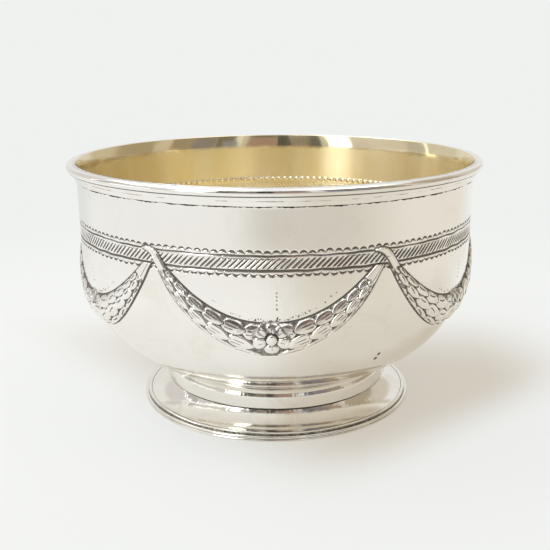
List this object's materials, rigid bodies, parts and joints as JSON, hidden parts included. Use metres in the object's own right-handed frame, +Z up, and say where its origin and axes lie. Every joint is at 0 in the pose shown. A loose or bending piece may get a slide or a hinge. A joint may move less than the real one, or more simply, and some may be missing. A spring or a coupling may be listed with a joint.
{
  "type": "silver sugar bowl",
  "caption": "Open round silver sugar bowl with a gilt interior, chased band, hanging leaf garlands with rosettes, a half-round lip wire and a stepped spreading foot.",
  "frame": {"origin": "centre of the plane that the foot's edge wire rests on", "axes": "+Z up along the bowl's axis of rotation; -Y faces the middle of one garland"},
  "size_m": [0.115, 0.115, 0.0695],
  "materials": {
    "silver": "polished sterling silver with fine wear scratches and darkened recesses in the chasing",
    "gilt": "pale worn parcel gilding over softly hammered silver",
    "solder": "dull silver solder, slightly uneven"
  },
  "bodies": {
    "root": {"bowl_shell": "silver", "gilt_lining": "gilt", "lip_wire": "silver", "rim_strip": "silver", "strip_solder": "solder", "foot_collar": "silver", "collar_solder": "solder", "foot_skirt": "silver", "skirt_solder": "solder", "base_wire": "silver", "base_wire_solder": "solder"}
  },
  "joints": []
}
